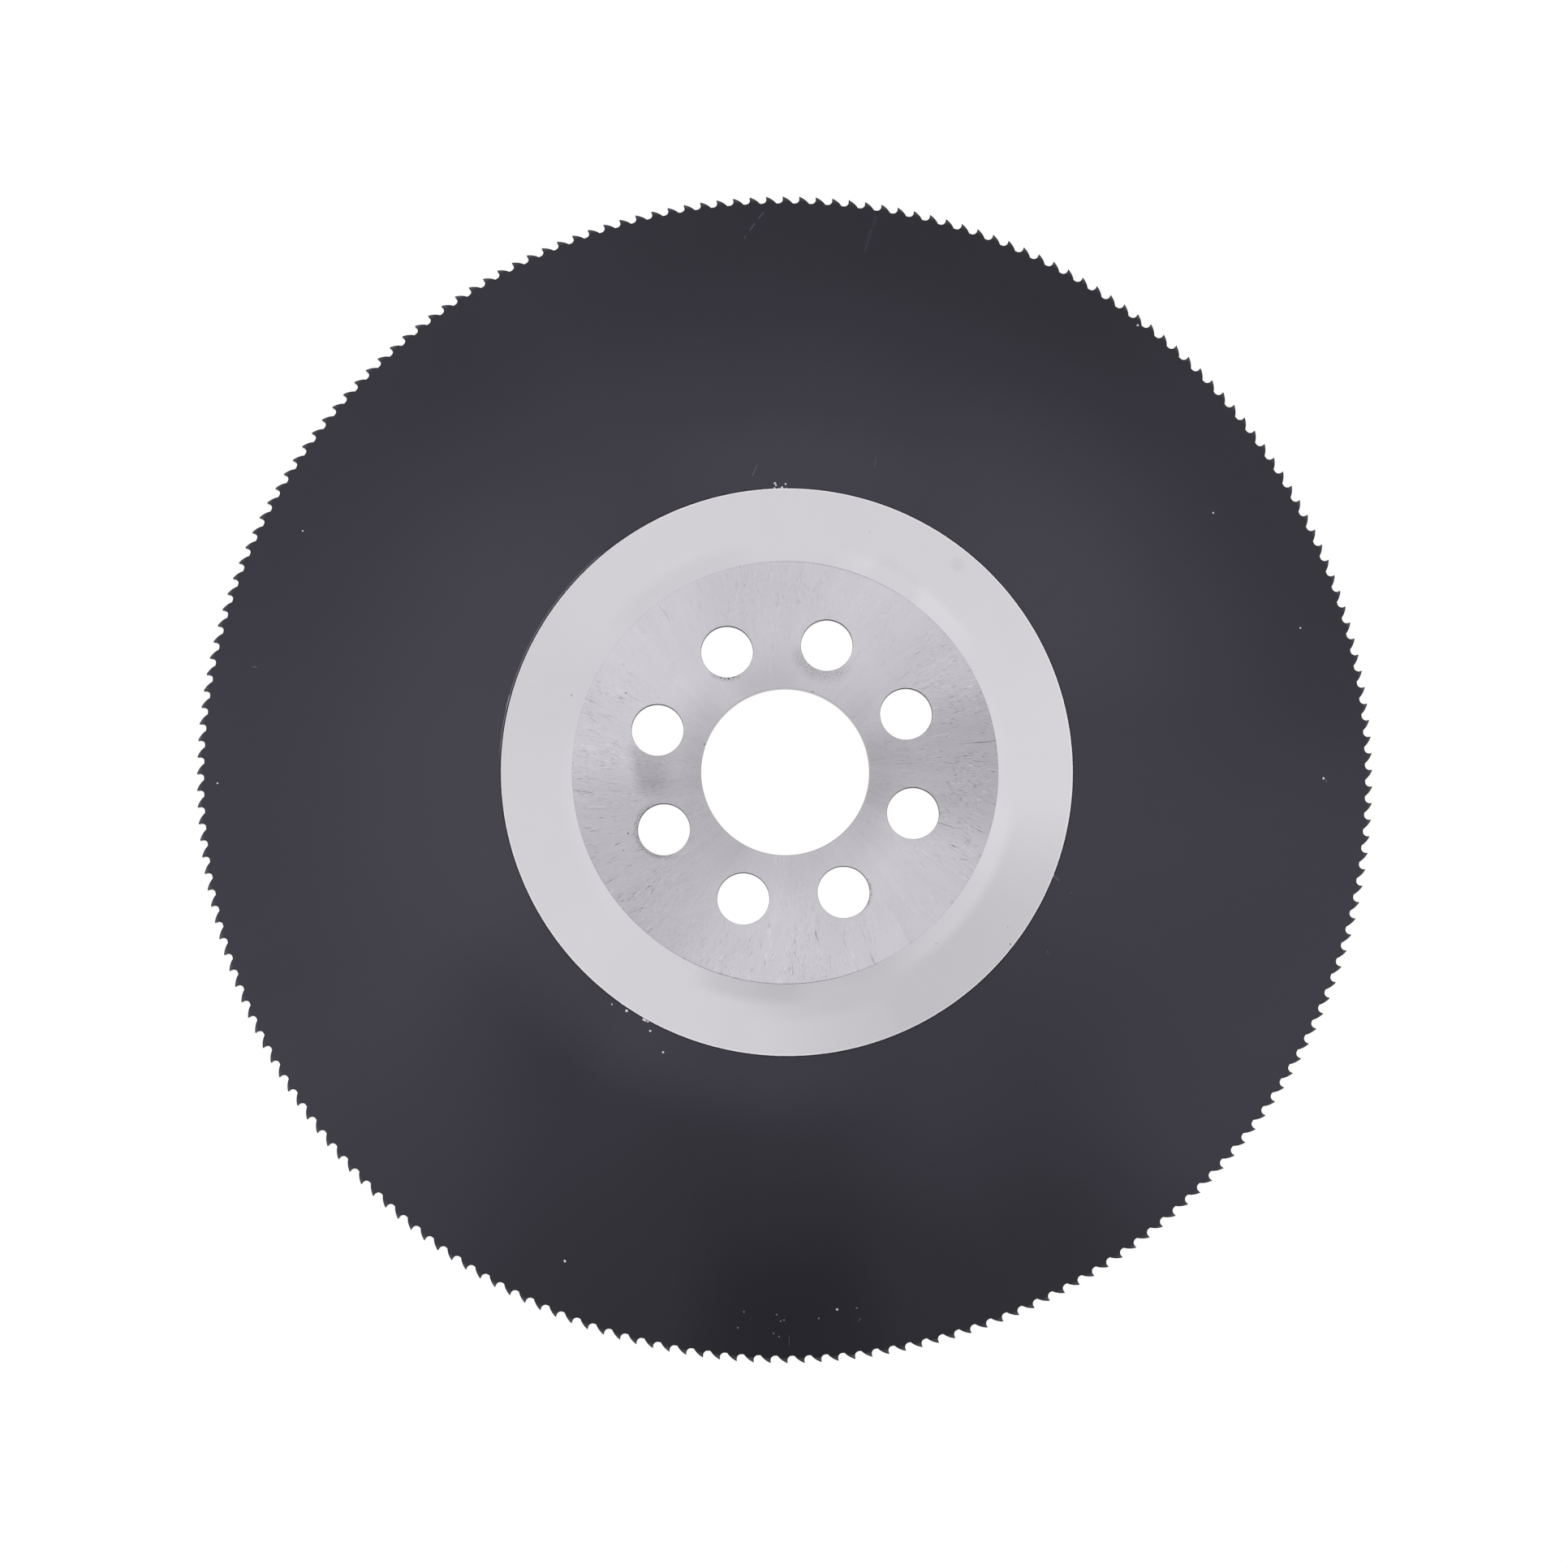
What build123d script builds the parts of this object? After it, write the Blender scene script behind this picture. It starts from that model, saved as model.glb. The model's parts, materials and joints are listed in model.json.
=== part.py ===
from build123d import *
import os
from math import cos, pi, radians, sin

# A cold saw blade of solid high-speed steel, lying flat. The origin is on the axis of the bore,
# halfway through the blade, and +Z runs along that axis. All sizes are in millimetres and degrees.

# Blade body
blade_diameter = 350.0
blade_thickness = 3.0
hub_diameter = 127.0        # the flat land that the flanges clamp

# Hollow grinding, the same on both faces
hollow_depth = 0.15
hub_run_out = 4.5           # the slope that the wheel leaves beside the hub
rim_run_out = 22.0          # the long slope back up to full thickness
rim_land = 1.0              # full thickness below the tooth gaps

# Bore and drive pin holes
bore_diameter = 50.0
bore_edge_break = 0.3
pin_hole_diameter = 15.5    # clear of a 15 mm pin
pin_circle_diameter = 80.0
pins_per_set = 4
first_pin_angle = 45.0      # a hole of the first set, counted from +X
second_set_turn = 46.17     # from the first set to the second, which isn't midway

# Teeth, whose tips point anticlockwise seen from +Z
tooth_pitch = 5.0           # along the circle of the tips
tooth_depth = 2.18
rake_angle = 6.7
gullet_radius = 1.33
gullet_floor = 0.67
back_radius = 6.7
first_tip_angle = -0.1      # a tip beside +X
gullet_flats = 4            # short flats that stand for each curve, because there are so many teeth
back_flats = 3

# Sizes that follow from those above
tip_radius = blade_diameter / 2
blank_radius = tip_radius + tooth_depth
bore_radius = bore_diameter / 2
hub_radius = hub_diameter / 2
tooth_count = round(pi * blade_diameter / tooth_pitch)
pitch_angle = 360 / tooth_count
rake = radians(rake_angle)
gullet_depth = tooth_depth - gullet_radius
gullet_ahead = (gullet_radius - gullet_depth * sin(rake)) / cos(rake)
face_top = blade_thickness / 2
hollow_floor = face_top - hollow_depth
hollow_rim = tip_radius - tooth_depth - rim_land


def beside_tip(ahead, depth):
    """The point this far ahead of the first tip, along the blade's edge, and this far below it."""
    return Vector(tip_radius - depth, ahead)


def in_flats(curve, flats):
    """The same curve as a run of equal flats."""
    return Polyline(*curve.positions([step / flats for step in range(flats + 1)]))


# One tooth gap, from tip to tip: rake face, gullet, floor and the back of the next tooth
with BuildLine() as tooth_gap:
    face_foot = beside_tip(gullet_ahead - gullet_radius * cos(rake), gullet_depth - gullet_radius * sin(rake))
    gullet_foot = beside_tip(gullet_ahead, tooth_depth)
    floor_end = beside_tip(gullet_ahead + gullet_floor, tooth_depth)
    next_tip = beside_tip(0, 0).rotate(Axis.Z, pitch_angle)
    face = Line(beside_tip(0, 0), face_foot)
    in_flats(TangentArc(face_foot, gullet_foot, tangent=face % 1, mode=Mode.PRIVATE), gullet_flats)
    Line(gullet_foot, floor_end)
    in_flats(RadiusArc(next_tip, floor_end, back_radius, mode=Mode.PRIVATE), back_flats)

with BuildPart() as saw_blade:
    # The blank: a bore with broken edges, the hub land and a web ground hollow on both faces
    with BuildSketch(Plane.XZ):
        with BuildLine():
            Polyline(
                (bore_radius, 0),
                (bore_radius, face_top - bore_edge_break),
                (bore_radius + bore_edge_break, face_top),
                (hub_radius, face_top),
                (hub_radius + hub_run_out, hollow_floor),
                (hollow_rim - rim_run_out, hollow_floor),
                (hollow_rim, face_top),
                (blank_radius, face_top),
                (blank_radius, 0),
                close=True,
            )
        make_face()
        mirror(about=Plane.XZ)
    revolve(axis=Axis.Z)

    # The toothed outline and the two sets of drive pin holes, cut right through the blank
    with BuildSketch(Plane.XY.offset(-blade_thickness)):
        with BuildLine():
            with PolarLocations(0, tooth_count, first_tip_angle):
                add(tooth_gap.line)
        make_face()
        for set_angle in (first_pin_angle, first_pin_angle + second_set_turn):
            with PolarLocations(pin_circle_diameter / 2, pins_per_set, set_angle):
                Circle(pin_hole_diameter / 2, mode=Mode.SUBTRACT)
    extrude(amount=2 * blade_thickness, mode=Mode.INTERSECT)

saw_blade.part.label = "saw_blade"

os.makedirs("parts", exist_ok=True)
export_step(saw_blade.part, "parts/saw_blade.step")
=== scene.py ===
import json
from math import atan2, cos, hypot, pi, radians, sin, sqrt

import bmesh
import bpy
from mathutils import Matrix, Vector


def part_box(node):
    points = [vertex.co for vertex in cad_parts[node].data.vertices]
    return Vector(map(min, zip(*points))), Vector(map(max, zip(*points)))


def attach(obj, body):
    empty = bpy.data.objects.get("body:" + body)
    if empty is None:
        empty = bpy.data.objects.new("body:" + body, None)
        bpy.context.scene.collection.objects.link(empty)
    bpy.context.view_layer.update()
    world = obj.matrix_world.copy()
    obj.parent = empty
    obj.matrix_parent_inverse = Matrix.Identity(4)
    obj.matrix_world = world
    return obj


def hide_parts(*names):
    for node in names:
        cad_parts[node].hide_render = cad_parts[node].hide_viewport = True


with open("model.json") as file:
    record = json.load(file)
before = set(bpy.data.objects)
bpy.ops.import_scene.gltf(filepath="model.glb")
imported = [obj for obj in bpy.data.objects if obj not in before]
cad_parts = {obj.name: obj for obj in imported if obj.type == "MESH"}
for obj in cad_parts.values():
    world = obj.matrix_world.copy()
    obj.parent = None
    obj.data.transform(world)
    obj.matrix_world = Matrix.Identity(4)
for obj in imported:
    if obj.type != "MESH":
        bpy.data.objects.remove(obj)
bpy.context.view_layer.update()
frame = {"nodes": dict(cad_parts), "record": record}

# The dressed cold saw blade. The solid gives the overall sizes; this script rounds the curves of the
# teeth, bevels their flanks, breaks the edges of the teeth and the pin holes, and gives every surface
# its finish. Lengths are in metres, written as millimetres times MM, and the frame is the solid's own.
MM = 0.001

# Sizes read from the solid and its record
cad_blade = frame["nodes"]["saw_blade"]
mounts = {mount["name"]: mount["dims"] for mount in frame["record"]["mounts"]}
face_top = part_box("saw_blade")[1].z
tip_radius = max(corner.co.xy.length for corner in cad_blade.data.vertices)
bore_radius = mounts["arbor_bore"]["r_mm"] * MM
pin_hole_radius = mounts["drive_pin_holes"]["hole_r_mm"] * MM
pin_places = [
    (Vector(low) + Vector(high)).xy / 2
    for low, high in (opening["box_m"] for opening in frame["record"]["physics"]["openings"])
]

# Blade body. The hollow grinding is as deep and as wide as the solid's, with curved slopes
hub_radius = 63.5 * MM
hub_run_out = 4.5 * MM
hollow_depth = 0.15 * MM
rim_run_out = 22 * MM
rim_land = 1.0 * MM
bore_edge_break = 0.3 * MM
pin_edge_break = 0.08 * MM

# Teeth, whose tips point anticlockwise seen from above
tooth_count = 220
tooth_depth = 2.18 * MM
rake = radians(6.7)
gullet_radius = 1.33 * MM
gullet_floor = 0.67 * MM
back_radius = 6.7 * MM
first_tip = radians(-0.1)
flank_bevel_height = 1.4 * MM       # down from the tip
flank_bevel_depth = 0.3 * MM        # at the tip, on each face
tooth_edge_break = 0.18 * MM        # across the face
tooth_edge_depth = 0.06 * MM
longest_mitre = 1.5                 # holds back the sharp corners of the broken edge, 0.5 on a straight
highlight_seed = 7                       # for the small differences from tooth to tooth in the painted highlight on the flanks

# Steps that a curve is made of
gullet_steps = 10
back_steps = 7
ramp_steps = 6
hole_steps = 96

same_place = 1e-6                   # corners this near to each other are one
crisp_angle = radians(30)           # edges that turn more than this aren't smoothed

# Sizes on the photograph, in millimetres. The mask left the bare centre a little off the bore's axis
bare_radius = 85.13
bare_centre = (0.53, 0.42)
pin_circle_radius = 40

# How the photograph shows the blade: turned this far clockwise from the solid's frame
picture_turn = radians(19.34)

# Sizes that follow from those above
pitch_angle = 2 * pi / tooth_count
hollow_rim = tip_radius - tooth_depth - rim_land
bevel_foot = tip_radius - flank_bevel_height


# Node trees, built by calls and by plain sums

class Value:
    """A number, colour or vector carried by a socket. Sums of values add Math nodes."""

    def __init__(self, nodes, socket):
        self.nodes = nodes
        self.socket = socket

    def __add__(self, other):
        return self.nodes.math("ADD", self, other)

    def __radd__(self, other):
        return self.nodes.math("ADD", other, self)

    def __sub__(self, other):
        return self.nodes.math("SUBTRACT", self, other)

    def __rsub__(self, other):
        return self.nodes.math("SUBTRACT", other, self)

    def __mul__(self, other):
        return self.nodes.math("MULTIPLY", self, other)

    def __rmul__(self, other):
        return self.nodes.math("MULTIPLY", other, self)

    def __truediv__(self, other):
        return self.nodes.math("DIVIDE", self, other)

    def __rtruediv__(self, other):
        return self.nodes.math("DIVIDE", other, self)


class Nodes:
    """A node tree and the one method that adds a node to it: settings first, then its inputs."""

    def __init__(self, tree):
        self.tree = tree

    def node(self, kind, settings=None, inputs=None, outputs=0):
        made = self.tree.nodes.new(kind)
        for name, setting in (settings or {}).items():
            setattr(made, name, setting)
        for name, value in (inputs or {}).items():
            if isinstance(value, Value):
                self.tree.links.new(value.socket, made.inputs[name])
            else:
                made.inputs[name].default_value = value
        if isinstance(outputs, tuple):
            return [Value(self, made.outputs[name]) for name in outputs]
        return Value(self, made.outputs[outputs]) if made.outputs else made

    def math(self, operation, *values):
        return self.node("ShaderNodeMath", {"operation": operation}, dict(enumerate(values)))

    def looked_at(self):
        """1 for the camera, for reflections and for a view through something, and 0 for plain light."""
        camera, glossy, through = self.node(
            "ShaderNodeLightPath", outputs=("Is Camera Ray", "Is Glossy Ray", "Is Transmission Ray"))
        return self.math("MAXIMUM", self.math("MAXIMUM", camera, glossy), through)


class Finish(Nodes):
    """A material and the patterns that its surfaces share, in millimetres and as pictured."""

    leaning_from = 45       # the radius at which leaning streaks point straight out

    def __init__(self, name):
        self.material = bpy.data.materials.new(name)
        self.material.use_nodes = True
        super().__init__(self.material.node_tree)
        self.tree.nodes.clear()
        coordinates = self.node("ShaderNodeTexCoord", outputs="Object")
        self.place = self.node("ShaderNodeMapping", {"vector_type": "POINT"}, {
            "Vector": coordinates, "Rotation": (0, 0, -picture_turn), "Scale": (1 / MM, 1 / MM, 1 / MM)})
        self.x, self.y, self.z = self.node(
            "ShaderNodeSeparateXYZ", inputs={0: self.place}, outputs=("X", "Y", "Z"))
        self.radius = self.math("SQRT", self.x * self.x + self.y * self.y)
        self.front = self.math("GREATER_THAN", self.z, 0)

    def vector(self, x, y, z):
        return self.node("ShaderNodeCombineXYZ", inputs={0: x, 1: y, 2: z})

    def step(self, low, high, value):
        """0 below low, 1 above high and smooth between them."""
        return self.node("ShaderNodeMapRange", {"interpolation_type": "SMOOTHSTEP"}, {
            "Value": value, "From Min": low, "From Max": high})

    def beyond(self, low, high):
        """0 within a radius of low, 1 outside a radius of high and smooth between them."""
        return self.step(low, high, self.radius)

    def bump_at(self, centre, width, value):
        """1 at centre, falling smoothly to 0 at width to either side."""
        return 1 - self.step(0, width, self.math("ABSOLUTE", value - centre))

    def noise(self, vector, scale=1.0, detail=2.0):
        """Soft noise around 0.5."""
        return self.node("ShaderNodeTexNoise", {"noise_dimensions": "3D"}, {
            "Vector": vector, "Scale": scale, "Detail": detail})

    def ray(self, lay=0.0):
        """The direction from the axis, as a vector of length 1, leaning by lay radians a millimetre."""
        outward = self.vector(self.x / self.radius, self.y / self.radius, 0.0)
        if not lay:
            return outward
        return self.node("ShaderNodeVectorRotate", {"rotation_type": "Z_AXIS"}, {
            "Vector": outward, "Angle": (self.radius - self.leaning_from) * lay})

    def streaks(self, across, along, seed, lay=0.0, detail=2.0):
        """Noise drawn out along the radius: across streaks in a radian, along of them in a millimetre."""
        x, y = self.node("ShaderNodeSeparateXYZ", inputs={0: self.ray(lay)}, outputs=("X", "Y"))
        drawn_out = self.vector(x * across + seed, y * across, self.radius * along + self.z * 7)
        return self.noise(drawn_out, detail=detail)

    def hairlines(self, across, along, seed, lay):
        """Hair-thin lines that run out from the axis: 1 in each groove and below 0 on the burr beside it."""
        level = self.streaks(across, along, seed, lay, detail=1)
        broken = self.step(0.53, 0.6, self.streaks(across * 1.6, along * 5, seed + 3, lay, detail=1))
        return (self.bump_at(0.49, 0.016, level) - self.bump_at(0.52, 0.016, level) * 0.6) * broken

    def rings(self):
        """Fine rings that a tool left around a hole's wall, as noise around 0.5."""
        return self.noise(self.vector(self.x * 0.2, self.y * 0.2, self.z * 9), detail=1)

    def toward(self, degrees, spread):
        """1 in one direction from the axis, falling smoothly to 0 at spread degrees to either side of it."""
        facing = self.x / self.radius * cos(radians(degrees)) + self.y / self.radius * sin(radians(degrees))
        return self.step(cos(radians(spread)), 1, facing)

    def painted_wedges(self, *painted_wedges):
        """Broad wedges of painted light and shade out from the axis, given as (degrees, spread, amount),
        added up.
        """
        return sum(self.toward(degrees, spread) * amount for degrees, spread, amount in painted_wedges)

    def near(self, centre):
        """The distance in millimetres from a point on the face, as pictured."""
        x, y = self.x - centre[0], self.y - centre[1]
        return self.math("SQRT", x * x + y * y)

    def spots(self, places):
        """1 in each of a few small ragged spots, given as (x, y, radius)."""
        ragged = self.noise(self.place, scale=2.5, detail=1) * 0.8 + 0.6
        found = 0
        for x, y, radius in places:
            found = found + (1 - self.step(radius * 0.5, radius, self.near((x, y)) * ragged))
        return self.math("MINIMUM", found, 1) * self.front

    def scratches(self, lines):
        """1 along each of a few fine scratches, given as (x, y, x, y, width)."""
        end_fade = 0.3
        found = 0
        for x, y, end_x, end_y, width in lines:
            length = hypot(end_x - x, end_y - y)
            along_x, along_y = (end_x - x) / length, (end_y - y) / length
            along = (self.x - x) * along_x + (self.y - y) * along_y
            across = (self.y - y) * along_x - (self.x - x) * along_y
            within = self.step(0, end_fade, along) * (1 - self.step(length - end_fade, length, along))
            found = found + self.bump_at(0, width, across) * within
        return self.math("MINIMUM", found, 1) * self.front

    def rubbed(self, hole_degrees, inner, outer, degrees, spread):
        """1 in a crescent rubbed beside a pin hole, on the side that the second angle gives."""
        x = pin_circle_radius * cos(radians(hole_degrees))
        y = pin_circle_radius * sin(radians(hole_degrees))
        away = self.near((x, y))
        side_x = (self.x - x) / away * cos(radians(degrees))
        side_y = (self.y - y) / away * sin(radians(degrees))
        side = self.step(cos(radians(spread)), cos(radians(spread * 0.5)), side_x + side_y)
        return (1 - self.step(inner, outer, away)) * side * self.front

    def tint(self, colour, tone):
        """A colour made lighter or darker by a tone around 1."""
        return self.node("ShaderNodeVectorMath", {"operation": "SCALE"}, {0: colour[:3], "Scale": tone})

    def bump(self, height, distance, strength=1.0):
        return self.node("ShaderNodeBump", inputs={
            "Height": height, "Distance": distance, "Strength": strength})

    def surface(self, settings):
        return self.node("ShaderNodeBsdfPrincipled", inputs=settings)

    def done(self, shader):
        self.node("ShaderNodeOutputMaterial", inputs={"Surface": shader})
        return self.material


# Colours, as linear light

def colour(red, green, blue):
    """A colour from the 0 to 255 values that it shows."""
    def linear(value):
        value /= 255
        return value / 12.92 if value <= 0.04045 else ((value + 0.055) / 1.055) ** 2.4
    return (linear(red), linear(green), linear(blue), 1.0)


hub_steel = colour(185, 182, 189)
satin_steel = colour(195, 192, 197)
coating = colour(62, 61, 69)
white = (1, 1, 1, 1)
floor_grey = (0.8, 0.8, 0.8, 1)


# Single marks on the front face, in millimetres as pictured

hub_specks = [
    (8.1, 23.7, 0.6), (-23.9, 8.2, 0.4), (-24.2, 6.3, 0.45), (-47.5, 23.6, 0.3), (-46.7, -18.5, 0.3),
    (-48.1, -23.6, 0.25), (-19.2, 28.1, 0.3), (-18.0, 27.9, 0.25), (-16.8, 27.9, 0.35), (-15.3, 28.4, 0.25),
]
hub_scratches = [
    (55.6, -26.1, 59.0, -24.9, 0.2), (20.5, 33.1, 22.5, 36.8, 0.15), (-63.0, 5.2, -58.8, 4.0, 0.14),
    (-61.7, 1.6, -58.2, 0.8, 0.14), (-54.8, 13.6, -52.2, 12.4, 0.12), (-56.6, 3.6, -53.1, 2.6, 0.12),
    (-59.0, -1.9, -50.1, -3.9, 0.13), (56.5, -26.8, 58.3, -25.1, 0.18), (57.2, -27.2, 58.8, -25.7, 0.14),
    (44.1, -17.8, 46.5, -19.7, 0.15), (52.7, -24.5, 54.6, -25.8, 0.14), (50.0, -36.2, 50.8, -38.1, 0.15),
    (48.8, -38.5, 50.1, -39.4, 0.3),
]
satin_smudges = [(51.7, 62.4, 2.6), (29.8, 58.5, 7.0), (36.0, 55.0, 6.0)]
satin_specks = [
    (-63.7, 22.9, 0.35), (25.4, 72.2, 0.2), (66.8, -51.6, 0.35), (66.0, -46.5, 0.2), (44.7, -51.4, 0.25),
]
coating_chips = [
    (-3.1, 85.6, 0.35), (-1.8, 85.5, 0.25), (-0.9, 85.7, 0.5), (0.4, 85.5, 0.3), (-48.1, -69.3, 0.35),
    (-41.9, -73.9, 0.5), (-41.4, -74.2, 0.4), (-40.7, -74.5, 0.35), (79.6, -31.0, 0.35),
]
coating_specks = [
    (-3.0, 87.1, 0.4), (-2.7, 86.5, 0.35), (0.2, 86.9, 0.35), (-51.4, -69.4, 0.25), (-47.0, -71.3, 0.5),
    (-40.0, -77.3, 0.4), (-36.2, -83.6, 0.4), (160.4, -2.0, 0.4), (154.1, 43.3, 0.3), (-65.0, -145.1, 0.45),
    (15.1, -159.3, 0.4), (-168.8, -3.5, 0.3), (106.3, 135.4, 0.4), (128.4, 78.2, 0.3), (-144.3, 72.6, 0.3),
]
faint_specks = [
    (-12.3, -160.0, 0.3), (-14.1, -164.6, 0.3), (-2.7, -160.8, 0.3), (-1.5, -162.7, 0.3), (-0.5, -162.4, 0.3),
    (-3.6, -166.3, 0.3), (-2.0, -167.2, 0.3), (9.7, -161.9, 0.3), (20.9, -158.9, 0.3),
]
coating_scratches = [
    (-6.1, 170.2, -8.0, 168.0, 0.25), (-8.9, 166.8, -10.6, 164.3, 0.25), (-11.6, 163.0, -12.3, 161.8, 0.2),
    (-9.8, 89.2, -8.3, 92.8, 0.25), (79.8, -31.2, 81.5, -32.8, 0.3), (84.6, -35.9, 85.2, -36.5, 0.25),
    (160.6, -2.1, 161.6, -3.2, 0.25), (22.1, -161.8, 21.2, -162.8, 0.25), (-158.9, 31.5, -157.4, 31.4, 0.3),
    (1.0, -166.8, 1.0, -170.3, 0.12), (26.8, 91.7, 27.3, 95.4, 0.12), (77.6, -53.4, 78.0, -54.6, 0.2),
]
coating_smears = [(27.6, 169.0, 26.6, 165.4, 0.7), (26.2, 165.0, 24.2, 158.0, 0.7)]
mask_edge_loop = [
    (-82.2, 23.0, -83.1, 19.1, 0.2), (-83.1, 19.1, -82.7, 18.7, 0.2), (-81.9, 23.2, -82.2, 23.0, 0.2),
]


# Finishes

def hub_land_finish():
    """Ground flat, with fine scratches that run almost straight out from the bore."""
    finish = Finish("ground_hub_land")
    hub_edge = hub_radius / MM

    # The scratches are crowded at the sides and below, and out toward the edge
    crowded = finish.math("MAXIMUM", finish.toward(3, 50), finish.toward(190, 50))
    crowded = finish.math("MAXIMUM", crowded, finish.toward(268, 34) * 0.6)
    crowded = crowded * 0.65 + finish.toward(92, 20) * 0.2 + 0.3
    crowded = crowded * (finish.beyond(30, 55) * 0.55 + 0.45)
    patches = finish.step(0.38, 0.58, finish.streaks(4, 0.06, 5))
    grain = finish.streaks(260, 0.9, 11, lay=0.003) - 0.5
    dark_lines = finish.step(0.65, 0.70, finish.streaks(280, 0.55, 23, lay=0.003, detail=1)) * patches
    light_lines = finish.step(0.66, 0.71, finish.streaks(280, 0.6, 37, lay=0.003, detail=1)) * patches
    hairlines = finish.hairlines(75, 0.05, 61, 0.004) + finish.hairlines(60, 0.04, 83, 0.001)
    relief = grain * 0.2 - dark_lines * 0.55 + light_lines * 0.3 - hairlines * 0.5

    # Random haze and broad streaks of tone, and broad painted light and shade: wedges by direction, painted
    # shade around the bore and a painted dark band along the edge of the land
    rays = finish.streaks(16, 0.03, 51, lay=0.003) - 0.5
    haze = finish.noise(finish.place, scale=0.04, detail=3) - 0.5
    painted_wedges = finish.painted_wedges(
        (150, 40, 0.12), (325, 45, 0.05), (65, 25, 0.07), (259, 18, 0.05), (2, 30, -0.19), (212, 38, -0.10))
    # Painted shade around the bore, stronger or weaker by direction
    painted_shade_by_bore = 0.12 + finish.painted_wedges(
        (330, 20, 0.05), (175, 22, 0.06), (155, 30, 0.13), (10, 25, -0.09), (212, 30, -0.08))
    painted_shade_by_bore = (1 - finish.beyond(26, 42)) * painted_shade_by_bore
    # A painted dark band just inside the edge of the land, strongest below and above
    painted_shade_at_edge = finish.beyond(hub_edge - 0.3, hub_edge - 0.1) * finish.painted_wedges((268, 38, 0.45), (74, 24, 0.25))
    painted_shade_at_edge = painted_shade_at_edge + finish.beyond(hub_edge - 0.5, hub_edge - 0.1) * 0.07

    # A darker patch left of the bore, and crescents rubbed beside the pin holes where they were deburred
    mottle = finish.step(0.42, 0.6, finish.noise(finish.place, scale=3.2, detail=3)) * 1.8 + 0.15
    blurred = finish.x + finish.y * 0.22 + mottle * 0.8
    dark_patch = finish.step(-46.0, -42.2, blurred) * (1 - finish.step(-40, -31, finish.x))
    dark_patch = dark_patch * finish.step(-10, -3, finish.y) * (1 - finish.step(4, 11, finish.y)) * finish.front
    rubs = finish.rubbed(71.83, 8.6, 12.5, 250, 80) * 0.18
    rubs = rubs + finish.rubbed(205.66, 8.1, 9.6, 200, 110) * 0.22
    rubs = rubs + finish.rubbed(115.66, 8.1, 9.4, 265, 40) * 0.2
    rubs = rubs + finish.rubbed(295.66, 8.0, 8.8, 355, 40) * 0.3

    tone = 0.97 + painted_wedges + haze * 0.16 + rays * 0.1 + relief * crowded - dark_patch * 0.24
    tone = tone - rubs * mottle - finish.scratches(hub_scratches) * 0.2 - painted_shade_at_edge - painted_shade_by_bore
    tone = tone * (1 - finish.spots(hub_specks) * 0.75)
    return finish.done(finish.surface({
        "Base Color": finish.tint(hub_steel, tone),
        "Metallic": 1.0,
        "Roughness": 0.34 + grain * 0.1,
        "Anisotropic": 0.6,
        "Normal": finish.bump(relief, 0.02 * MM, 0.3),
    }))


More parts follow.
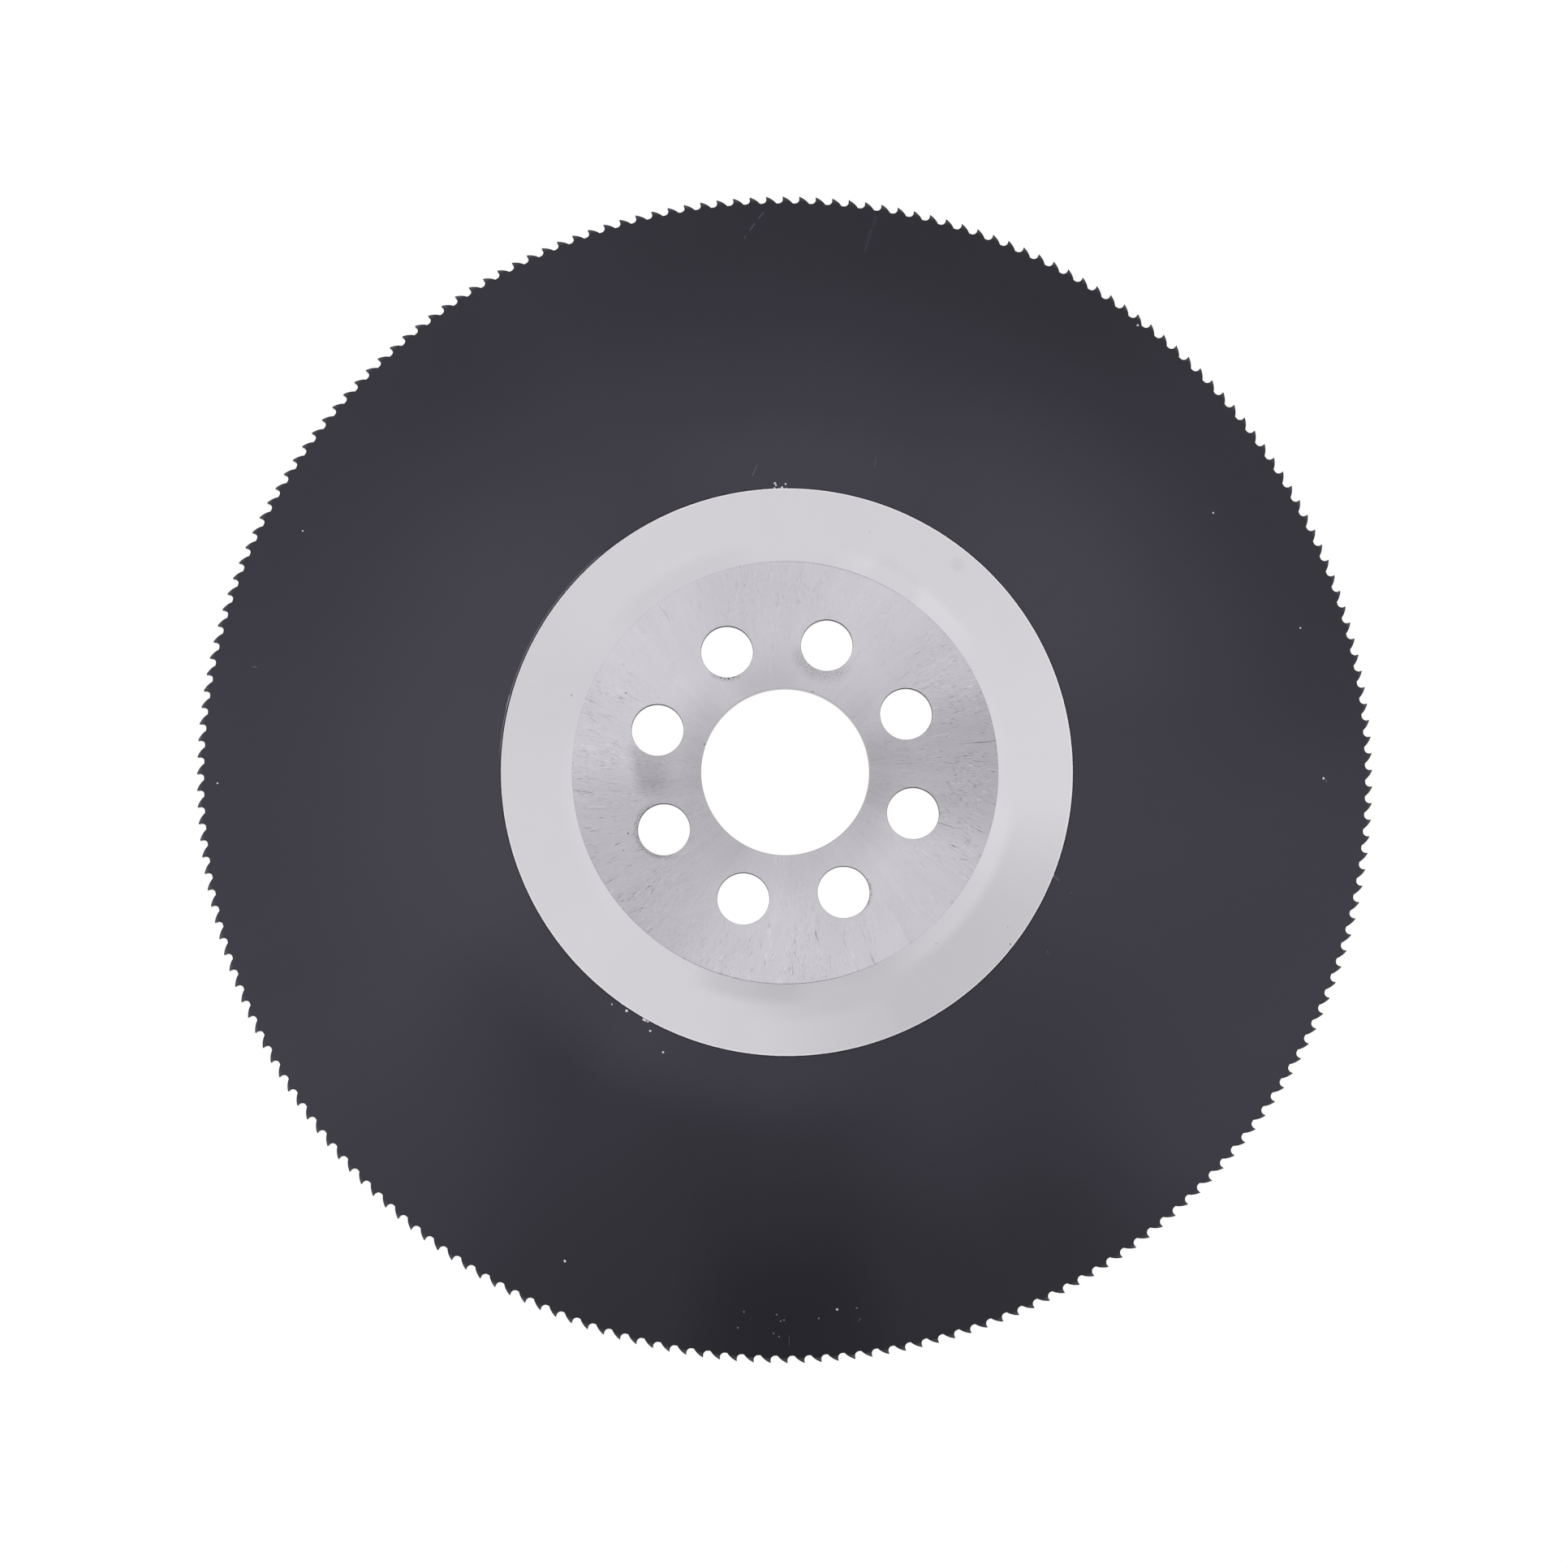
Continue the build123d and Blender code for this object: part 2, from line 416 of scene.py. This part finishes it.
def side_finish():
    """The hollow side: satin bare steel around the hub land, then the hard coating out to the teeth."""
    finish = Finish("satin_and_coated_side")
    frayed = (finish.noise(finish.place, scale=1.6) - 0.5) * 0.16
    past_edge = finish.near(bare_centre) + frayed - bare_radius
    missing = finish.math("MAXIMUM", finish.spots(coating_chips), finish.spots(coating_specks))
    missing = finish.math("MAXIMUM", missing, finish.spots(faint_specks) * 0.25)
    coated = finish.step(-0.06, 0.06, past_edge) * (1 - missing)

    # Bare steel, with a bright line along the coating that is fainter on the left, painted light and shade in
    # broad wedges, and painted light and shade on the run-out beside the hub land
    satin_haze = finish.noise(finish.place, scale=0.04) - 0.5
    satin_lines = finish.streaks(60, 0.02, 3) - 0.5
    on_left = finish.step(0, 0.25, finish.toward(153, 40))
    bright_line = finish.bump_at(-0.2, 0.25, past_edge) * (1 - on_left * 0.7)
    painted_shading_on_run_out = finish.painted_wedges((55, 25, 0.08), (325, 32, 0.12), (261, 17, -0.13), (120, 25, -0.06))
    bare_tone = 1.02 + satin_haze * 0.04 + satin_lines * 0.02 + bright_line * 0.22
    # Painted shade in broad wedges, painted light and shade on the run-out, and a painted light wedge further
    # out
    bare_tone = bare_tone + finish.painted_wedges((305, 52, -0.17), (178, 48, -0.05))
    bare_tone = bare_tone + painted_shading_on_run_out * (1 - finish.beyond(67, 71))
    bare_tone = bare_tone + finish.toward(277, 20) * finish.beyond(71, 76) * 0.06
    bare_tone = bare_tone - finish.spots(satin_smudges) * 0.06 - finish.spots(satin_specks) * 0.5
    bare = finish.surface({
        "Base Color": finish.tint(satin_steel, bare_tone),
        "Metallic": 1.0,
        "Roughness": 0.30,
        "Anisotropic": 0.4,
        "Anisotropic Rotation": 0.25,
    })

    # Coating, with a black line along its edge and a second, fainter edge on the left, where the mask was
    # laid twice. Its broad tones are painted light and shade: wedges by direction, all along and further out,
    # and painted shade toward the teeth
    clouds = finish.noise(finish.place, scale=0.012) - 0.5
    lines = finish.streaks(70, 0.02, 9) - 0.5
    black_line = finish.bump_at(0.22, 0.25, past_edge)
    second_edge = finish.bump_at(0.5, 0.17, past_edge) * finish.step(0, 0.25, finish.toward(153, 26))
    # Painted light and shade in broad wedges by direction, all along the coating and further out
    painted_shading_all_along = finish.painted_wedges(
        (188, 75, 0.14), (128, 36, 0.02), (38, 32, 0.12), (300, 35, -0.10), (222, 20, -0.10))
    painted_shading_far_out = finish.painted_wedges(
        (335, 35, 0.19), (250, 45, 0.10), (300, 35, 0.10), (38, 32, -0.132), (270, 13, -0.12),
        (80, 42, -0.11), (288, 32, -0.14), (145, 30, -0.06))
    tone = 0.94 + clouds * 0.14 + lines * 0.03 + painted_shading_all_along + painted_shading_far_out * finish.beyond(105, 165)
    # Painted shade toward the teeth and toward 250 degrees, painted light toward 222 and 88 degrees
    tone = tone - finish.beyond(92, 165) * 0.2 - finish.toward(250, 45) * finish.beyond(88, 112) * 0.24
    tone = tone + finish.toward(222, 20) * finish.beyond(95, 150) * 0.2
    tone = tone + finish.toward(88, 30) * (1 - finish.beyond(95, 115)) * 0.12
    tone = tone - black_line * 0.6 + second_edge * 2.6 + finish.scratches(mask_edge_loop) * 3
    tone = tone + finish.scratches(coating_scratches) * 1.1 + finish.scratches(coating_smears) * 0.22
    dark = finish.surface({
        "Base Color": finish.tint(coating, tone),
        "Metallic": 1.0,
        "Roughness": 0.40,
        "Anisotropic": 0.5,
        "Anisotropic Rotation": 0.25,
    })
    return finish.done(finish.node("ShaderNodeMixShader", inputs={0: coated, 1: bare, 2: dark}))


def flank_bevel_finish():
    """The ground flanks of the teeth, coated like the rest, with a painted highlight toward the tip whose
    strength differs from tooth to tooth.
    """
    finish = Finish("coated_tooth_flank")
    own_highlight = finish.node("ShaderNodeAttribute", {"attribute_name": "tooth_tone"}, outputs="Fac")
    lines = finish.noise(finish.place, scale=4) - 0.5
    # A painted highlight toward the tip, stronger on some teeth than on others
    tone = 0.9 + finish.beyond(173.5, 174.8) * (own_highlight * 0.7 + 0.5) + lines * 0.3
    return finish.done(finish.surface({
        "Base Color": finish.tint(coating, tone),
        "Metallic": 1.0,
        "Roughness": 0.36,
    }))


def gap_wall_finish():
    """The walls of the tooth gaps, ground across the blade and coated."""
    finish = Finish("coated_tooth_gap")
    lines = finish.noise(finish.vector(finish.x * 3, finish.y * 3, finish.z * 0.4)) - 0.5
    return finish.done(finish.surface({
        "Base Color": finish.tint(coating, 0.25 + lines * 0.15),
        "Metallic": 1.0,
        "Roughness": 0.4,
    }))


def bore_wall_finish():
    """The bore and its broken edges, honed smooth for the arbor."""
    finish = Finish("honed_bore_wall")
    return finish.done(finish.surface({
        "Base Color": finish.tint(satin_steel, 0.9 + (finish.rings() - 0.5) * 0.15),
        "Metallic": 1.0,
        "Roughness": 0.4,
    }))


def pin_hole_wall_finish():
    """The pin holes: the upper part of the wall and its front edge are painted shade, dark and without a
    metal sheen, and the lower part is bright bare metal.
    """
    finish = Finish("drilled_pin_hole_wall")
    # Painted shade on the upper wall; bright metal on the lower wall
    lower_wall = 1 - finish.step(-0.7, 0.5, finish.z)
    return finish.done(finish.surface({
        "Base Color": finish.tint(hub_steel, 0.08 + (finish.rings() - 0.5) * 0.05 + lower_wall * 1.3),
        "Metallic": lower_wall,
        "Specular IOR Level": 0.1,
        "Roughness": 0.7 - lower_wall * 0.5,
    }))


finishes = [
    hub_land_finish(), side_finish(), flank_bevel_finish(), gap_wall_finish(), bore_wall_finish(),
    pin_hole_wall_finish(),
]
HUB_LAND, SIDE, FLANK, GAP_WALL, BORE_WALL, PIN_HOLE_WALL = range(len(finishes))


# Outline of a tooth

def turned(point, angle):
    """A point turned around the axis."""
    x, y = point
    return Vector((x * cos(angle) - y * sin(angle), x * sin(angle) + y * cos(angle)))


def arc_points(centre, start, end, steps):
    """Points from start to end around a centre, the short way, with both ends."""
    first = atan2(start[1] - centre[1], start[0] - centre[0])
    sweep = atan2(end[1] - centre[1], end[0] - centre[0]) - first
    sweep = (sweep + pi) % (2 * pi) - pi
    size = hypot(start[0] - centre[0], start[1] - centre[1])
    angles = [first + sweep * step / steps for step in range(steps + 1)]
    return [Vector((centre[0] + size * cos(angle), centre[1] + size * sin(angle))) for angle in angles]


def tooth_outline():
    """The edge of one tooth, from the middle of the gap behind it to the middle of the gap ahead."""
    foot_x = tip_radius - tooth_depth
    gullet_depth = tooth_depth - gullet_radius
    ahead = (gullet_radius - gullet_depth * sin(rake)) / cos(rake)
    tip = Vector((tip_radius, 0))
    gullet_centre = Vector((tip_radius - gullet_depth, ahead))
    face_foot = gullet_centre + gullet_radius * Vector((sin(rake), -cos(rake)))
    gullet = arc_points(gullet_centre, face_foot, (foot_x, ahead), gullet_steps)
    floor_middle = Vector((foot_x, ahead + gullet_floor / 2))
    floor_end = turned((foot_x, ahead + gullet_floor), -pitch_angle)
    chord = tip - floor_end
    inward = Vector((-chord.y, chord.x)).normalized()
    back_centre = (tip + floor_end) / 2 + inward * sqrt(back_radius ** 2 - chord.length_squared / 4)
    back = arc_points(back_centre, floor_end, tip, back_steps)
    return [turned(floor_middle, -pitch_angle), *back, *gullet, floor_middle]


def with_bevel_corners(outline):
    """The outline with a point added where it passes the foot of the flank bevel."""
    points = [outline[0]]
    for before, after in zip(outline, outline[1:]):
        share = (bevel_foot - before.length) / (after.length - before.length or 1)
        if 0 < share < 1:
            points.append(before.lerp(after, share))
        points.append(after)
    return points


def inset_outline(outline):
    """The outline moved into the tooth by the width of its broken edge."""
    def normal(before, after):
        along = (after - before).normalized()
        return Vector((-along.y, along.x))

    moved = []
    before_first = turned(outline[-2], -pitch_angle)
    after_last = turned(outline[1], pitch_angle)
    padded = [before_first, *outline, after_last]
    for before, point, after in zip(padded, padded[1:], padded[2:]):
        mitre = normal(before, point) + normal(point, after)
        moved.append(point + mitre * min(2 / mitre.length_squared, longest_mitre) * tooth_edge_break)
    return moved


# One slice of the blade and the wall of one hole

def side_height(radius):
    """Half the thickness at a radius: the hub land, its run-out, the hollow and the slope to the rim."""
    if radius < hub_radius + hub_run_out:
        share = max(0, radius - hub_radius) / hub_run_out
        return face_top - hollow_depth * sin(share * pi / 2)
    share = max(0, radius - hollow_rim + rim_run_out) / rim_run_out
    return face_top - hollow_depth * (1 - min(1, share) ** 2)


def ring_radii():
    """Where the side's rings of edges lie, from the hub land to the rim."""
    ramp = [hub_radius + hub_run_out * step / ramp_steps for step in range(ramp_steps + 1)]
    rise = [hollow_rim - rim_run_out * (1 - step / ramp_steps) for step in range(ramp_steps + 1)]
    return ramp + rise


def add_face(shape, corners, finish):
    shape.faces.new(corners).material_index = finish


def mesh_of(shape, name):
    """The mesh of a finished shape."""
    mesh = bpy.data.meshes.new(name)
    shape.to_mesh(mesh)
    shape.free()
    return mesh


def blade_slice():
    """One slice of the blade, from the edge of the hub land to one tooth."""
    shape = bmesh.new()
    outline = with_bevel_corners(tooth_outline())
    inset = inset_outline(outline)
    left, right = (atan2(end.y, end.x) for end in (outline[0], outline[-1]))
    past_rounding = 1.000001        # so that the corners at the foot of the bevel aren't counted as on it
    on_bevel = [point.length > bevel_foot * past_rounding for point in outline]
    first, last = on_bevel.index(True) - 1, len(outline) - on_bevel[::-1].index(True)

    def edge_height(point):
        drop = max(0, point.length - bevel_foot) / flank_bevel_height
        return face_top - flank_bevel_depth * drop

    walls = []
    for side in (1, -1):
        rings = [
            [shape.verts.new((radius * cos(angle), radius * sin(angle), side * side_height(radius)))
             for angle in (left, right)]
            for radius in ring_radii()
        ]
        rim = [shape.verts.new((*point, side * edge_height(point))) for point in inset]
        broken = [
            shape.verts.new((*point, side * (edge_height(point) - tooth_edge_depth)))
            for point in outline
        ]
        for inner, outer in zip(rings, rings[1:]):
            add_face(shape, (inner[0], outer[0], outer[1], inner[1]), SIDE)
        add_face(shape, [rings[-1][1], rings[-1][0], *rim[:first + 1], *rim[last:]], SIDE)
        add_face(shape, rim[first:last + 1], FLANK)
        for corner, after, below, below_after in zip(rim, rim[1:], broken, broken[1:]):
            add_face(shape, (corner, after, below_after, below), GAP_WALL)
        walls.append(broken)
    for upper, lower, next_upper, next_lower in zip(*walls, walls[0][1:], walls[1][1:]):
        add_face(shape, (upper, lower, next_lower, next_upper), GAP_WALL)
    bmesh.ops.recalc_face_normals(shape, faces=shape.faces)
    return mesh_of(shape, "blade_slice")


def wall_profile(radius, edge_break):
    """The radii and heights of a hole's wall with its broken edges, from the front to the back."""
    return [
        (radius + edge_break, face_top), (radius, face_top - edge_break),
        (radius, edge_break - face_top), (radius + edge_break, -face_top),
    ]


def add_rings(shape, profile, angles, finish):
    """Adds the surface that a profile makes when it is turned around the axis, with corners at the angles."""
    rings = [
        [shape.verts.new((radius * cos(angle), radius * sin(angle), height)) for angle in angles]
        for radius, height in profile
    ]
    for upper, lower in zip(rings, rings[1:]):
        for here in range(len(angles)):
            after = (here + 1) % len(angles)
            add_face(shape, (upper[here], upper[after], lower[after], lower[here]), finish)


def pin_hole_wall():
    """The wall of one pin hole around the origin, with its broken edges."""
    shape = bmesh.new()
    angles = [2 * pi * step / hole_steps for step in range(hole_steps)]
    add_rings(shape, wall_profile(pin_hole_radius, pin_edge_break), angles, PIN_HOLE_WALL)
    return mesh_of(shape, "pin_hole_wall")


# Trees that repeat them

def new_tree(name, inputs):
    """A Geometry Nodes tree with a shape going in and out, and with named inputs of the kinds given."""
    tree = bpy.data.node_groups.new(name, "GeometryNodeTree")
    tree.interface.new_socket("Geometry", in_out="INPUT", socket_type="NodeSocketGeometry")
    tree.interface.new_socket("Geometry", in_out="OUTPUT", socket_type="NodeSocketGeometry")
    for label, kind in inputs.items():
        tree.interface.new_socket(label, in_out="INPUT", socket_type=kind)
    return tree


def set_finishes(nodes, geometry, chosen):
    """Gives each face the finish whose number it carries."""
    index = nodes.node(
        "GeometryNodeInputNamedAttribute", {"data_type": "INT"}, {"Name": "finish"}, outputs="Attribute")
    for number in chosen:
        same = nodes.node(
            "FunctionNodeCompare", {"data_type": "INT", "operation": "EQUAL"}, {2: index, 3: number})
        geometry = nodes.node("GeometryNodeSetMaterial", inputs={
            "Geometry": geometry, "Selection": same, "Material": finishes[number]})
    return geometry


def slice_tree():
    """Repeats the slice around the axis, one for each tooth, each with its own strength of the flanks'
    painted highlight.
    """
    tree = new_tree("blade_of_slices", {
        "Teeth": "NodeSocketInt", "First tip": "NodeSocketFloat", "Tone seed": "NodeSocketInt"})
    nodes = Nodes(tree)
    shape, teeth, first, seed = nodes.node(
        "NodeGroupInput", outputs=("Geometry", "Teeth", "First tip", "Tone seed"))
    places = nodes.node("GeometryNodeMeshLine", inputs={"Count": teeth, "Offset": (0, 0, 0)})
    number = nodes.node("GeometryNodeInputIndex")
    turn = nodes.node("ShaderNodeCombineXYZ", inputs={"Z": number * (2 * pi / teeth) + first})
    copies = nodes.node("GeometryNodeInstanceOnPoints", inputs={
        "Points": places, "Instance": shape, "Rotation": turn})
    tone = nodes.node("FunctionNodeRandomValue", {"data_type": "FLOAT"}, {"Seed": seed}, outputs=1)
    toned = nodes.node("GeometryNodeStoreNamedAttribute", {"data_type": "FLOAT", "domain": "INSTANCE"}, {
        "Geometry": copies, "Name": "tooth_tone", "Value": tone})
    real = nodes.node("GeometryNodeRealizeInstances", inputs={0: toned})
    nodes.node("NodeGroupOutput", inputs={0: set_finishes(nodes, real, (SIDE, FLANK, GAP_WALL))})
    return tree


def hole_tree():
    """Repeats a hole's wall at each point of the pattern."""
    tree = new_tree("pin_hole_pattern", {"Hole": "NodeSocketObject"})
    nodes = Nodes(tree)
    places, hole = nodes.node("NodeGroupInput", outputs=("Geometry", "Hole"))
    wall = nodes.node("GeometryNodeObjectInfo", inputs={"Object": hole}, outputs="Geometry")
    copies = nodes.node("GeometryNodeInstanceOnPoints", inputs={"Points": places, "Instance": wall})
    real = nodes.node("GeometryNodeRealizeInstances", inputs={0: copies})
    nodes.node("NodeGroupOutput", inputs={0: set_finishes(nodes, real, (PIN_HOLE_WALL,))})
    return tree


def new_object(name, mesh):
    made = bpy.data.objects.new(name, mesh)
    bpy.context.scene.collection.objects.link(made)
    return made


def add_finishes(mesh):
    for finish in finishes:
        mesh.materials.append(finish)


def numbered(mesh):
    """The mesh, with each face's finish kept as an attribute that a tree can read."""
    kept = mesh.attributes.new("finish", "INT", "FACE")
    for face in mesh.polygons:
        kept.data[face.index].value = face.material_index
    add_finishes(mesh)
    return mesh


def repeated(mesh, tree, settings):
    """The mesh that a tree makes of another, with the tree's inputs set by their identifiers."""
    source = new_object(mesh.name, mesh)
    modifier = source.modifiers.new(tree.name, "NODES")
    modifier.node_group = tree
    inputs = [item for item in tree.interface.items_tree if item.in_out == "INPUT"]
    identifiers = {item.name: item.identifier for item in inputs}
    for name, value in settings.items():
        modifier[identifiers[name]] = value
    bpy.context.view_layer.update()
    result = bpy.data.meshes.new_from_object(source.evaluated_get(bpy.context.evaluated_depsgraph_get()))
    source.modifiers.clear()
    bpy.data.objects.remove(source)
    return result


# The whole blade

def corners_on(shape, centre, radius, height):
    """The corners on a circle at a height, in order around it."""
    found = [
        corner for corner in shape.verts
        if abs(corner.co.z - height) < same_place
        and abs((corner.co.xy - centre).length - radius) < same_place
    ]
    return sorted(found, key=lambda corner: atan2(corner.co.y - centre.y, corner.co.x - centre.x))


def loop_edges(shape, corners):
    """The edges from each corner to the next and back to the first, added where they are missing."""
    return [
        shape.edges.get((corner, after)) or shape.edges.new((corner, after))
        for corner, after in zip(corners, corners[1:] + corners[:1])
    ]


def fill_hub_land(shape):
    """Closes the two flat faces of the hub land, around the bore and the pin holes."""
    axis = Vector((0, 0))
    circles = [(axis, hub_radius), (axis, bore_radius + bore_edge_break)]
    circles += [(place, pin_hole_radius + pin_edge_break) for place in pin_places]
    for height in (face_top, -face_top):
        edges = []
        for centre, radius in circles:
            edges += loop_edges(shape, corners_on(shape, centre, radius, height))
        filled = bmesh.ops.triangle_fill(
            shape, edges=edges, use_beauty=True, use_dissolve=False, normal=(0, 0, 1))
        for item in filled["geom"]:
            if isinstance(item, bmesh.types.BMFace):
                item.material_index = HUB_LAND


def smooth_curves(shape):
    """Smooth shading, but for crisp edges and the borders between finishes."""
    for face in shape.faces:
        face.smooth = True
    for edge in shape.edges:
        sides = {face.material_index for face in edge.link_faces}
        edge.smooth = len(sides) == 1 and edge.calc_face_angle(pi) < crisp_angle


def dressed_blade():
    """The blade as one closed piece: slices, pin hole walls, bore wall and hub land."""
    slices = repeated(numbered(blade_slice()), slice_tree(), {
        "Teeth": tooth_count, "First tip": first_tip, "Tone seed": highlight_seed})
    wall = new_object("pin_hole_wall", numbered(pin_hole_wall()))
    pattern = bpy.data.meshes.new("pin_hole_places")
    pattern.from_pydata([(*place, 0) for place in pin_places], [], [])
    holes = repeated(pattern, hole_tree(), {"Hole": wall})
    bpy.data.objects.remove(wall)

    shape = bmesh.new()
    shape.from_mesh(slices)
    holes_begin = len(shape.faces)
    shape.from_mesh(holes)
    shape.faces.ensure_lookup_table()
    for face in shape.faces[holes_begin:]:
        face.material_index = PIN_HOLE_WALL
    bmesh.ops.remove_doubles(shape, verts=shape.verts, dist=same_place)
    hub_corners = corners_on(shape, Vector((0, 0)), hub_radius, face_top)
    angles = [atan2(corner.co.y, corner.co.x) for corner in hub_corners]
    add_rings(shape, wall_profile(bore_radius, bore_edge_break), angles, BORE_WALL)
    fill_hub_land(shape)
    bmesh.ops.recalc_face_normals(shape, faces=shape.faces)
    smooth_curves(shape)
    mesh = mesh_of(shape, "dressed_blade")
    add_finishes(mesh)
    return new_object("dressed_blade", mesh)


blade = dressed_blade()
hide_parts("saw_blade")
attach(blade, "root")


# Floor, world, lamps and camera

def pale_floor():
    """The floor just under the blade, white where it is looked at, with a trace of the blade's shadow."""
    reach = 3.0
    gap = 0.02 * MM
    white_share, white_glow = 0.85, 1.14
    finish = Finish("pale_floor")
    shaded = finish.node("ShaderNodeBsdfDiffuse", inputs={"Color": floor_grey})
    glow = finish.node("ShaderNodeEmission", inputs={"Color": white, "Strength": white_glow})
    mixed = finish.node("ShaderNodeMixShader", inputs={
        0: finish.looked_at() * white_share, 1: shaded, 2: glow})
    mesh = bpy.data.meshes.new("floor")
    corners = [(-reach, -reach), (reach, -reach), (reach, reach), (-reach, reach)]
    mesh.from_pydata([(x, y, -face_top - gap) for x, y in corners], [], [(0, 1, 2, 3)])
    mesh.materials.append(finish.done(mixed))
    new_object("floor", mesh)


def soft_world(light):
    """The surround, white where it is looked at and of this strength where it lights the blade."""
    world = bpy.data.worlds.new("soft_surround")
    world.use_nodes = True
    world.node_tree.nodes.clear()
    nodes = Nodes(world.node_tree)
    strength = light + nodes.looked_at() * (1 - light)
    sky = nodes.node("ShaderNodeBackground", inputs={"Color": white, "Strength": strength})
    nodes.node("ShaderNodeOutputWorld", inputs={0: sky})
    bpy.context.scene.world = world


def soft_lamp(name, place, size, glow):
    """A rectangular soft lamp that faces the blade, placed as pictured. A glow of 1 shows white."""
    lamp = bpy.data.lights.new(name, "AREA")
    lamp.shape = "RECTANGLE"
    lamp.size, lamp.size_y = size
    lamp.energy = glow * pi * lamp.size * lamp.size_y
    holder = bpy.data.objects.new(name, lamp)
    bpy.context.scene.collection.objects.link(holder)
    out = Vector(place)
    along = Vector((1, 0, 0)).cross(out).cross(out).normalized()
    facing = Matrix((along.cross(out.normalized()), along, out.normalized())).transposed().to_4x4()
    holder.matrix_world = Matrix.Rotation(picture_turn, 4, "Z") @ Matrix.Translation(out) @ facing


def pictured_camera():
    """The photograph's camera: its distance, shift and tilts, found from the edges that it shows."""
    distance = 1513.36 * MM
    shift_x, shift_y = 0.3407 * MM, 3.513 * MM
    tilt, swing = -0.1207, 0.0086
    focal_pixels, picture_width = 6257.8, 1932
    data = bpy.data.cameras.new("camera")
    data.sensor_width = 36
    data.lens = focal_pixels / picture_width * data.sensor_width
    camera = bpy.data.objects.new("camera", data)
    bpy.context.scene.collection.objects.link(camera)
    turned_to = Matrix.Rotation(swing, 4, "Y") @ Matrix.Rotation(tilt, 4, "X")
    blade_from_camera = Matrix.Translation((shift_x, shift_y, -distance)) @ turned_to
    camera.matrix_world = Matrix.Rotation(picture_turn, 4, "Z") @ blade_from_camera.inverted()
    bpy.context.scene.camera = camera


pale_floor()
soft_world(light=0.25)
soft_lamp("overhead_lamp", (0, 0.22, 1.7), (1.0, 0.5), 0.2)
soft_lamp("left_lamp", (-1.0, -0.05, 1.6), (0.8, 1.2), 0.8)
soft_lamp("upper_left_lamp", (-0.6, 1.1, 1.6), (0.9, 0.6), 0.6)
soft_lamp("right_lamp", (0.85, 0.2, 1.6), (0.6, 1.2), 0.4)
pictured_camera()
bpy.context.scene.view_settings.view_transform = "Standard"
